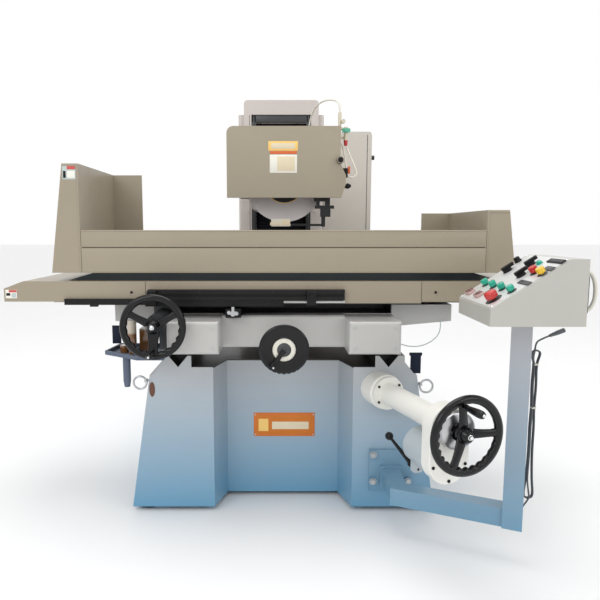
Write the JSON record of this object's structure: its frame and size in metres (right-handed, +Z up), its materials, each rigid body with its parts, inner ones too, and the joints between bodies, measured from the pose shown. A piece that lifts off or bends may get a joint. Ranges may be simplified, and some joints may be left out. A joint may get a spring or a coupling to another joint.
{
  "type": "surface grinder",
  "caption": "Hydraulic surface grinding machine: splayed base, cross saddle, long guarded table, column with wheel head, cabinet, handwheels and a console on an arm.",
  "frame": {"origin": "on the floor, at the centre of the rectangle of foundation bolts", "axes": "+X to the operator's right along the table, +Y away from the operator along the saddle's travel, +Z up"},
  "size_m": [2.152, 2.115, 1.819],
  "materials": {
    "grey_paint": "satin",
    "taupe_paint": "satin",
    "console_paint": "satin",
    "panel_plate": "satin",
    "cream_paint": "satin",
    "dark_paint": "satin",
    "black_wheel": "glossy",
    "black_plastic": "matte",
    "bare_steel": "brushed",
    "chrome_steel": "polished",
    "dark_iron": "machined",
    "abrasive": "matte",
    "bellows_cloth": "matte",
    "cable_rubber": "satin",
    "brass_fitting": "satin",
    "hose_plastic": "satin",
    "clear_cup": "glossy",
    "green_knob": "glossy",
    "red_knob": "glossy",
    "yellow_knob": "glossy",
    "green_handle": "satin"
  },
  "bodies": {
    "machine": {"base_casting": "grey_paint", "levelling_feet": "dark_iron", "column": "grey_paint", "column_frame": "grey_paint", "bellows_upper": "bellows_cloth", "bellows_lower": "bellows_cloth", "electrical_cabinet": "grey_paint", "feed_tube": "cream_paint", "feed_case": "cream_paint", "feed_motor": "grey_paint", "console_arm": "grey_paint", "console_box": "console_paint", "console_panel": "panel_plate", "cable_hank": "cable_rubber", "cable_leads": "cable_rubber", "cable_plug": "cable_rubber"},
    "cabinet_door": {"cabinet_door": "grey_paint"},
    "lift_screw": {"lift_screw": "bare_steel"},
    "feed_handwheel": {"feed_handwheel": "black_wheel"},
    "feed_grip": {"feed_grip": "chrome_steel"},
    "clutch_lever": {"clutch_lever": "bare_steel"},
    "saddle": {"saddle_casting": "grey_paint", "reversing_valve": "black_plastic", "drip_tray": "grey_paint", "lubricator": "clear_cup", "wheel_bracket": "grey_paint", "table_cylinder": "bare_steel"},
    "table_handwheel": {"table_handwheel": "black_wheel"},
    "table_grip": {"table_grip": "black_wheel"},
    "cross_screw": {"cross_screw": "bare_steel", "cross_handwheel": "black_wheel"},
    "cross_grip": {"cross_grip": "black_wheel"},
    "reversing_lever": {"reversing_lever": "chrome_steel"},
    "table": {"table_casting": "taupe_paint", "table_covers": "taupe_paint", "magnetic_chuck": "bare_steel", "splash_guard": "taupe_paint", "dog_rails": "dark_iron", "piston_rod": "chrome_steel"},
    "trip_dog_left": {"trip_dog_left": "black_plastic"},
    "trip_dog_right": {"trip_dog_right": "black_plastic"},
    "head": {"head_casting": "grey_paint", "spindle_motor": "dark_paint", "wheel_guard": "taupe_paint", "coolant_fittings": "brass_fitting", "coolant_hose": "hose_plastic"},
    "guard_door": {"guard_door": "taupe_paint"},
    "valve_lever": {"valve_lever": "green_handle"},
    "spindle": {"spindle_shaft": "bare_steel", "grinding_wheel": "abrasive"},
    "emergency_stop": {"emergency_stop": "red_knob"},
    "green_button_1": {"green_button_1": "green_knob"},
    "green_button_2": {"green_button_2": "green_knob"},
    "green_button_3": {"green_button_3": "green_knob"},
    "green_button_4": {"green_button_4": "green_knob"},
    "red_button": {"red_button": "red_knob"},
    "yellow_button": {"yellow_button": "yellow_knob"},
    "selector_1": {"selector_1": "black_plastic"},
    "selector_2": {"selector_2": "black_plastic"},
    "selector_3": {"selector_3": "black_plastic"}
  },
  "joints": [
    {"name": "saddle_cross", "type": "slide", "parent": "machine", "child": "saddle", "axis": [0, 1, 0], "range_m": [-0.07, 0.37]},
    {"name": "table_traverse", "type": "slide", "parent": "saddle", "child": "table", "axis": [1, 0, 0], "range_m": [-0.405, 0.405]},
    {"name": "head_vertical", "type": "slide", "parent": "machine", "child": "head", "axis": [0, 0, 1], "range_m": [-0.11, 0.18], "deforming": ["bellows_upper", "bellows_lower"]},
    {"name": "wheel_spindle", "type": "hinge", "parent": "head", "child": "spindle", "pos_m": [0.009, -0.176, 1.357], "axis": [0, 1, 0], "continuous": true},
    {"name": "cross_feed", "type": "hinge", "parent": "saddle", "child": "cross_screw", "pos_m": [0, -0.792, 0.716], "axis": [0, -1, 0], "range_deg": [-26645, 5045]},
    {"name": "vertical_screw", "type": "hinge", "parent": "machine", "child": "lift_screw", "pos_m": [0.16, 0.47, 1], "axis": [0, 0, 1], "range_deg": [-7925, 12965]},
    {"name": "vertical_feed", "type": "hinge", "parent": "machine", "child": "feed_handwheel", "pos_m": [0.558, -1.138, 0.518], "axis": [0.309, -0.9511, 0], "range_deg": [-12965, 7925]},
    {"name": "table_feed", "type": "hinge", "parent": "saddle", "child": "table_handwheel", "pos_m": [-0.472, -0.803, 0.8], "axis": [0, -1, 0], "range_deg": [-1465, 1465]},
    {"name": "table_grip_turn", "type": "hinge", "parent": "table_handwheel", "child": "table_grip", "pos_m": [-0.472, -0.83, 0.708], "axis": [0, -1, 0], "continuous": true},
    {"name": "cross_grip_turn", "type": "hinge", "parent": "cross_screw", "child": "cross_grip", "pos_m": [-0.039, -0.81, 0.6603], "axis": [0, -1, 0], "continuous": true},
    {"name": "feed_grip_turn", "type": "hinge", "parent": "feed_handwheel", "child": "feed_grip", "pos_m": [0.5446, -1.16338, 0.61484], "axis": [0.309, -0.9511, 0], "continuous": true},
    {"name": "clutch_swing", "type": "hinge", "parent": "machine", "child": "clutch_lever", "pos_m": [0.45569, -0.86842, 0.313], "axis": [0.309, -0.9511, 0], "range_deg": [-20, 20]},
    {"name": "reversing_swing", "type": "hinge", "parent": "saddle", "child": "reversing_lever", "pos_m": [-0.192, -0.69, 0.832], "axis": [0, -1, 0], "range_deg": [-15, 15]},
    {"name": "left_dog_slide", "type": "slide", "parent": "table", "child": "trip_dog_left", "axis": [1, 0, 0], "range_m": [0, 0.25]},
    {"name": "right_dog_slide", "type": "slide", "parent": "table", "child": "trip_dog_right", "axis": [1, 0, 0], "range_m": [-0.2, 0.11]},
    {"name": "guard_door_swing", "type": "hinge", "parent": "head", "child": "guard_door", "pos_m": [-0.231, -0.249, 1.43], "axis": [0, 0, -1], "range_deg": [0, 95]},
    {"name": "coolant_cock", "type": "hinge", "parent": "head", "child": "valve_lever", "pos_m": [0.277, -0.262, 1.576], "axis": [0, -1, 0], "range_deg": [0, 90]},
    {"name": "cabinet_door_swing", "type": "hinge", "parent": "machine", "child": "cabinet_door", "pos_m": [0.4886, 0.59, 1.18], "axis": [0, 0, 1], "range_deg": [0, 110]},
    {"name": "emergency_stop_press", "type": "slide", "parent": "machine", "child": "emergency_stop", "axis": [0.5422, 0, -0.8402], "range_m": [0, 0.005], "stiffness_N_per_m": 400, "springref_m": -0.002},
    {"name": "green_button_1_press", "type": "slide", "parent": "machine", "child": "green_button_1", "axis": [0.5422, 0, -0.8402], "range_m": [0, 0.005], "stiffness_N_per_m": 400, "springref_m": -0.002},
    {"name": "green_button_2_press", "type": "slide", "parent": "machine", "child": "green_button_2", "axis": [0.5422, 0, -0.8402], "range_m": [0, 0.005], "stiffness_N_per_m": 400, "springref_m": -0.002},
    {"name": "green_button_3_press", "type": "slide", "parent": "machine", "child": "green_button_3", "axis": [0.5422, 0, -0.8402], "range_m": [0, 0.005], "stiffness_N_per_m": 400, "springref_m": -0.002},
    {"name": "green_button_4_press", "type": "slide", "parent": "machine", "child": "green_button_4", "axis": [0.5422, 0, -0.8402], "range_m": [0, 0.005], "stiffness_N_per_m": 400, "springref_m": -0.002},
    {"name": "red_button_press", "type": "slide", "parent": "machine", "child": "red_button", "axis": [0.5422, 0, -0.8402], "range_m": [0, 0.005], "stiffness_N_per_m": 400, "springref_m": -0.002},
    {"name": "yellow_button_press", "type": "slide", "parent": "machine", "child": "yellow_button", "axis": [0.5422, 0, -0.8402], "range_m": [0, 0.005], "stiffness_N_per_m": 400, "springref_m": -0.002},
    {"name": "selector_1_turn", "type": "hinge", "parent": "machine", "child": "selector_1", "pos_m": [0.75746, -0.8825, 1.01383], "axis": [-0.5422, 0, 0.8402], "range_deg": [-45, 45]},
    {"name": "selector_2_turn", "type": "hinge", "parent": "machine", "child": "selector_2", "pos_m": [0.74906, -1.0115, 1.00841], "axis": [-0.5422, 0, 0.8402], "range_deg": [-45, 45]},
    {"name": "selector_3_turn", "type": "hinge", "parent": "machine", "child": "selector_3", "pos_m": [0.79779, -0.9675, 1.03986], "axis": [-0.5422, 0, 0.8402], "range_deg": [-45, 45]}
  ],
  "couplings": [
    {"joint": "cross_feed", "follows": "saddle_cross", "rad_per_m": -1256.6},
    {"joint": "vertical_screw", "follows": "head_vertical", "rad_per_m": 1256.6},
    {"joint": "vertical_feed", "follows": "head_vertical", "rad_per_m": -1256.6},
    {"joint": "table_feed", "follows": "table_traverse", "rad_per_m": 62.83}
  ]
}
